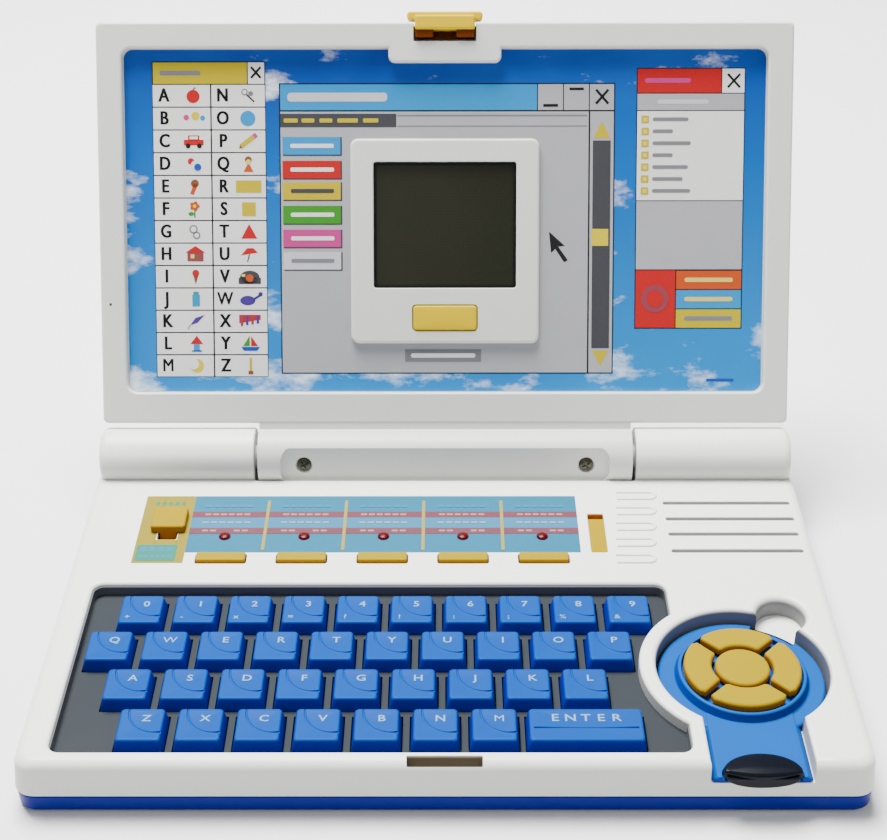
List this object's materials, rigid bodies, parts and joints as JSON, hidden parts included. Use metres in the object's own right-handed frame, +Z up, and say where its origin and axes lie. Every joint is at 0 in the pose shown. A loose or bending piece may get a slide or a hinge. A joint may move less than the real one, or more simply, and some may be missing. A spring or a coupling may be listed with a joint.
{
  "type": "toy laptop computer",
  "caption": "Toy laptop with a letter keyboard, a removable round mouse, theme buttons and a hinged lid that holds a small display in a picture panel.",
  "frame": {"origin": "on the table plane, at the bottom centre of the box round the open toy", "axes": "+Z up, +X to the user's right, -Y towards the user; the lid is drawn at its full opening"},
  "size_m": [0.277, 0.2554, 0.18],
  "materials": {
    "white_shell": "satin",
    "deep_blue_shell": "satin",
    "blue_plastic": "satin",
    "yellow_plastic": "satin",
    "grey_plastic": "matt",
    "black_plastic": "gloss",
    "lcd_glass": "gloss",
    "circuit_board": "satin"
  },
  "bodies": {
    "base": {"base_top_casing": "white_shell", "base_bottom_tray": "deep_blue_shell", "keyboard_deck": "grey_plastic", "main_board": "circuit_board"},
    "lid": {"lid_front_shell": "white_shell", "lid_back_shell": "white_shell", "lcd_panel": "lcd_glass"},
    "latch": {"lid_latch": "yellow_plastic"},
    "mouse": {"mouse_body": "blue_plastic"},
    "select": {"select_button": "black_plastic"},
    "contrast": {"contrast_button": "yellow_plastic"},
    "mode_switch": {"mode_slider": "yellow_plastic"},
    "power_switch": {"power_slider": "yellow_plastic"},
    "pad_up_body": {"pad_up": "yellow_plastic"},
    "pad_down_body": {"pad_down": "yellow_plastic"},
    "pad_left_body": {"pad_left": "yellow_plastic"},
    "pad_right_body": {"pad_right": "yellow_plastic"},
    "pad_centre_body": {"pad_centre": "yellow_plastic"},
    "theme_button_1_body": {"theme_button_1": "yellow_plastic"},
    "theme_button_2_body": {"theme_button_2": "yellow_plastic"},
    "theme_button_3_body": {"theme_button_3": "yellow_plastic"},
    "theme_button_4_body": {"theme_button_4": "yellow_plastic"},
    "theme_button_5_body": {"theme_button_5": "yellow_plastic"},
    "key_0_body": {"key_0": "blue_plastic"},
    "key_1_body": {"key_1": "blue_plastic"},
    "key_2_body": {"key_2": "blue_plastic"},
    "key_3_body": {"key_3": "blue_plastic"},
    "key_4_body": {"key_4": "blue_plastic"},
    "key_5_body": {"key_5": "blue_plastic"},
    "key_6_body": {"key_6": "blue_plastic"},
    "key_7_body": {"key_7": "blue_plastic"},
    "key_8_body": {"key_8": "blue_plastic"},
    "key_9_body": {"key_9": "blue_plastic"},
    "key_q_body": {"key_q": "blue_plastic"},
    "key_w_body": {"key_w": "blue_plastic"},
    "key_e_body": {"key_e": "blue_plastic"},
    "key_r_body": {"key_r": "blue_plastic"},
    "key_t_body": {"key_t": "blue_plastic"},
    "key_y_body": {"key_y": "blue_plastic"},
    "key_u_body": {"key_u": "blue_plastic"},
    "key_i_body": {"key_i": "blue_plastic"},
    "key_o_body": {"key_o": "blue_plastic"},
    "key_p_body": {"key_p": "blue_plastic"},
    "key_a_body": {"key_a": "blue_plastic"},
    "key_s_body": {"key_s": "blue_plastic"},
    "key_d_body": {"key_d": "blue_plastic"},
    "key_f_body": {"key_f": "blue_plastic"},
    "key_g_body": {"key_g": "blue_plastic"},
    "key_h_body": {"key_h": "blue_plastic"},
    "key_j_body": {"key_j": "blue_plastic"},
    "key_k_body": {"key_k": "blue_plastic"},
    "key_l_body": {"key_l": "blue_plastic"},
    "key_z_body": {"key_z": "blue_plastic"},
    "key_x_body": {"key_x": "blue_plastic"},
    "key_c_body": {"key_c": "blue_plastic"},
    "key_v_body": {"key_v": "blue_plastic"},
    "key_b_body": {"key_b": "blue_plastic"},
    "key_n_body": {"key_n": "blue_plastic"},
    "key_m_body": {"key_m": "blue_plastic"},
    "key_enter_body": {"key_enter": "blue_plastic"}
  },
  "joints": [
    {"name": "lid_hinge", "type": "hinge", "parent": "base", "child": "lid", "pos_m": [0, 0.04111, 0.025], "axis": [1, 0, 0], "range_deg": [0, 117.5]},
    {"name": "latch_pivot", "type": "hinge", "parent": "lid", "child": "latch", "pos_m": [0, 0.12097, 0.17192], "axis": [-1, 0, 0], "range_deg": [0, 4], "stiffness_Nm_per_rad": 0.6, "springref_deg": -1.72},
    {"name": "mouse_lift", "type": "slide", "parent": "base", "child": "mouse", "axis": [0, 0, 1], "range_m": [0, 0.03]},
    {"name": "mode_slide", "type": "slide", "parent": "base", "child": "mode_switch", "axis": [0, -1, 0], "range_m": [0, 0.0035]},
    {"name": "power_slide", "type": "slide", "parent": "base", "child": "power_switch", "axis": [0, 1, 0], "range_m": [0, 0.0021]},
    {"name": "contrast_press", "type": "slide", "parent": "lid", "child": "contrast", "axis": [0, 0.887, -0.4617], "range_m": [0, 0.001], "stiffness_N_per_m": 120, "springref_m": -0.001},
    {"name": "select_press", "type": "slide", "parent": "mouse", "child": "select", "axis": [0, 0, -1], "range_m": [0, 0.0008], "stiffness_N_per_m": 150, "springref_m": -0.001},
    {"name": "pad_up_press", "type": "slide", "parent": "mouse", "child": "pad_up_body", "axis": [0, 0, -1], "range_m": [0, 0.0012], "stiffness_N_per_m": 150, "springref_m": -0.001},
    {"name": "pad_down_press", "type": "slide", "parent": "mouse", "child": "pad_down_body", "axis": [0, 0, -1], "range_m": [0, 0.0012], "stiffness_N_per_m": 150, "springref_m": -0.001},
    {"name": "pad_left_press", "type": "slide", "parent": "mouse", "child": "pad_left_body", "axis": [0, 0, -1], "range_m": [0, 0.0012], "stiffness_N_per_m": 150, "springref_m": -0.001},
    {"name": "pad_right_press", "type": "slide", "parent": "mouse", "child": "pad_right_body", "axis": [0, 0, -1], "range_m": [0, 0.0012], "stiffness_N_per_m": 150, "springref_m": -0.001},
    {"name": "pad_centre_press", "type": "slide", "parent": "mouse", "child": "pad_centre_body", "axis": [0, 0, -1], "range_m": [0, 0.0012], "stiffness_N_per_m": 150, "springref_m": -0.001},
    {"name": "theme_button_1_press", "type": "slide", "parent": "base", "child": "theme_button_1_body", "axis": [0, 0, -1], "range_m": [0, 0.001], "stiffness_N_per_m": 150, "springref_m": -0.001},
    {"name": "theme_button_2_press", "type": "slide", "parent": "base", "child": "theme_button_2_body", "axis": [0, 0, -1], "range_m": [0, 0.001], "stiffness_N_per_m": 150, "springref_m": -0.001},
    {"name": "theme_button_3_press", "type": "slide", "parent": "base", "child": "theme_button_3_body", "axis": [0, 0, -1], "range_m": [0, 0.001], "stiffness_N_per_m": 150, "springref_m": -0.001},
    {"name": "theme_button_4_press", "type": "slide", "parent": "base", "child": "theme_button_4_body", "axis": [0, 0, -1], "range_m": [0, 0.001], "stiffness_N_per_m": 150, "springref_m": -0.001},
    {"name": "theme_button_5_press", "type": "slide", "parent": "base", "child": "theme_button_5_body", "axis": [0, 0, -1], "range_m": [0, 0.001], "stiffness_N_per_m": 150, "springref_m": -0.001},
    {"name": "key_0_press", "type": "slide", "parent": "base", "child": "key_0_body", "axis": [0, 0, -1], "range_m": [0, 0.0022], "stiffness_N_per_m": 150, "springref_m": -0.001},
    {"name": "key_1_press", "type": "slide", "parent": "base", "child": "key_1_body", "axis": [0, 0, -1], "range_m": [0, 0.0022], "stiffness_N_per_m": 150, "springref_m": -0.001},
    {"name": "key_2_press", "type": "slide", "parent": "base", "child": "key_2_body", "axis": [0, 0, -1], "range_m": [0, 0.0022], "stiffness_N_per_m": 150, "springref_m": -0.001},
    {"name": "key_3_press", "type": "slide", "parent": "base", "child": "key_3_body", "axis": [0, 0, -1], "range_m": [0, 0.0022], "stiffness_N_per_m": 150, "springref_m": -0.001},
    {"name": "key_4_press", "type": "slide", "parent": "base", "child": "key_4_body", "axis": [0, 0, -1], "range_m": [0, 0.0022], "stiffness_N_per_m": 150, "springref_m": -0.001},
    {"name": "key_5_press", "type": "slide", "parent": "base", "child": "key_5_body", "axis": [0, 0, -1], "range_m": [0, 0.0022], "stiffness_N_per_m": 150, "springref_m": -0.001},
    {"name": "key_6_press", "type": "slide", "parent": "base", "child": "key_6_body", "axis": [0, 0, -1], "range_m": [0, 0.0022], "stiffness_N_per_m": 150, "springref_m": -0.001},
    {"name": "key_7_press", "type": "slide", "parent": "base", "child": "key_7_body", "axis": [0, 0, -1], "range_m": [0, 0.0022], "stiffness_N_per_m": 150, "springref_m": -0.001},
    {"name": "key_8_press", "type": "slide", "parent": "base", "child": "key_8_body", "axis": [0, 0, -1], "range_m": [0, 0.0022], "stiffness_N_per_m": 150, "springref_m": -0.001},
    {"name": "key_9_press", "type": "slide", "parent": "base", "child": "key_9_body", "axis": [0, 0, -1], "range_m": [0, 0.0022], "stiffness_N_per_m": 150, "springref_m": -0.001},
    {"name": "key_q_press", "type": "slide", "parent": "base", "child": "key_q_body", "axis": [0, 0, -1], "range_m": [0, 0.0022], "stiffness_N_per_m": 150, "springref_m": -0.001},
    {"name": "key_w_press", "type": "slide", "parent": "base", "child": "key_w_body", "axis": [0, 0, -1], "range_m": [0, 0.0022], "stiffness_N_per_m": 150, "springref_m": -0.001},
    {"name": "key_e_press", "type": "slide", "parent": "base", "child": "key_e_body", "axis": [0, 0, -1], "range_m": [0, 0.0022], "stiffness_N_per_m": 150, "springref_m": -0.001},
    {"name": "key_r_press", "type": "slide", "parent": "base", "child": "key_r_body", "axis": [0, 0, -1], "range_m": [0, 0.0022], "stiffness_N_per_m": 150, "springref_m": -0.001},
    {"name": "key_t_press", "type": "slide", "parent": "base", "child": "key_t_body", "axis": [0, 0, -1], "range_m": [0, 0.0022], "stiffness_N_per_m": 150, "springref_m": -0.001},
    {"name": "key_y_press", "type": "slide", "parent": "base", "child": "key_y_body", "axis": [0, 0, -1], "range_m": [0, 0.0022], "stiffness_N_per_m": 150, "springref_m": -0.001},
    {"name": "key_u_press", "type": "slide", "parent": "base", "child": "key_u_body", "axis": [0, 0, -1], "range_m": [0, 0.0022], "stiffness_N_per_m": 150, "springref_m": -0.001},
    {"name": "key_i_press", "type": "slide", "parent": "base", "child": "key_i_body", "axis": [0, 0, -1], "range_m": [0, 0.0022], "stiffness_N_per_m": 150, "springref_m": -0.001},
    {"name": "key_o_press", "type": "slide", "parent": "base", "child": "key_o_body", "axis": [0, 0, -1], "range_m": [0, 0.0022], "stiffness_N_per_m": 150, "springref_m": -0.001},
    {"name": "key_p_press", "type": "slide", "parent": "base", "child": "key_p_body", "axis": [0, 0, -1], "range_m": [0, 0.0022], "stiffness_N_per_m": 150, "springref_m": -0.001},
    {"name": "key_a_press", "type": "slide", "parent": "base", "child": "key_a_body", "axis": [0, 0, -1], "range_m": [0, 0.0022], "stiffness_N_per_m": 150, "springref_m": -0.001},
    {"name": "key_s_press", "type": "slide", "parent": "base", "child": "key_s_body", "axis": [0, 0, -1], "range_m": [0, 0.0022], "stiffness_N_per_m": 150, "springref_m": -0.001},
    {"name": "key_d_press", "type": "slide", "parent": "base", "child": "key_d_body", "axis": [0, 0, -1], "range_m": [0, 0.0022], "stiffness_N_per_m": 150, "springref_m": -0.001},
    {"name": "key_f_press", "type": "slide", "parent": "base", "child": "key_f_body", "axis": [0, 0, -1], "range_m": [0, 0.0022], "stiffness_N_per_m": 150, "springref_m": -0.001},
    {"name": "key_g_press", "type": "slide", "parent": "base", "child": "key_g_body", "axis": [0, 0, -1], "range_m": [0, 0.0022], "stiffness_N_per_m": 150, "springref_m": -0.001},
    {"name": "key_h_press", "type": "slide", "parent": "base", "child": "key_h_body", "axis": [0, 0, -1], "range_m": [0, 0.0022], "stiffness_N_per_m": 150, "springref_m": -0.001},
    {"name": "key_j_press", "type": "slide", "parent": "base", "child": "key_j_body", "axis": [0, 0, -1], "range_m": [0, 0.0022], "stiffness_N_per_m": 150, "springref_m": -0.001},
    {"name": "key_k_press", "type": "slide", "parent": "base", "child": "key_k_body", "axis": [0, 0, -1], "range_m": [0, 0.0022], "stiffness_N_per_m": 150, "springref_m": -0.001},
    {"name": "key_l_press", "type": "slide", "parent": "base", "child": "key_l_body", "axis": [0, 0, -1], "range_m": [0, 0.0022], "stiffness_N_per_m": 150, "springref_m": -0.001},
    {"name": "key_z_press", "type": "slide", "parent": "base", "child": "key_z_body", "axis": [0, 0, -1], "range_m": [0, 0.0022], "stiffness_N_per_m": 150, "springref_m": -0.001},
    {"name": "key_x_press", "type": "slide", "parent": "base", "child": "key_x_body", "axis": [0, 0, -1], "range_m": [0, 0.0022], "stiffness_N_per_m": 150, "springref_m": -0.001},
    {"name": "key_c_press", "type": "slide", "parent": "base", "child": "key_c_body", "axis": [0, 0, -1], "range_m": [0, 0.0022], "stiffness_N_per_m": 150, "springref_m": -0.001},
    {"name": "key_v_press", "type": "slide", "parent": "base", "child": "key_v_body", "axis": [0, 0, -1], "range_m": [0, 0.0022], "stiffness_N_per_m": 150, "springref_m": -0.001},
    {"name": "key_b_press", "type": "slide", "parent": "base", "child": "key_b_body", "axis": [0, 0, -1], "range_m": [0, 0.0022], "stiffness_N_per_m": 150, "springref_m": -0.001},
    {"name": "key_n_press", "type": "slide", "parent": "base", "child": "key_n_body", "axis": [0, 0, -1], "range_m": [0, 0.0022], "stiffness_N_per_m": 150, "springref_m": -0.001},
    {"name": "key_m_press", "type": "slide", "parent": "base", "child": "key_m_body", "axis": [0, 0, -1], "range_m": [0, 0.0022], "stiffness_N_per_m": 150, "springref_m": -0.001},
    {"name": "key_enter_press", "type": "slide", "parent": "base", "child": "key_enter_body", "axis": [0, 0, -1], "range_m": [0, 0.0022], "stiffness_N_per_m": 150, "springref_m": -0.001}
  ]
}
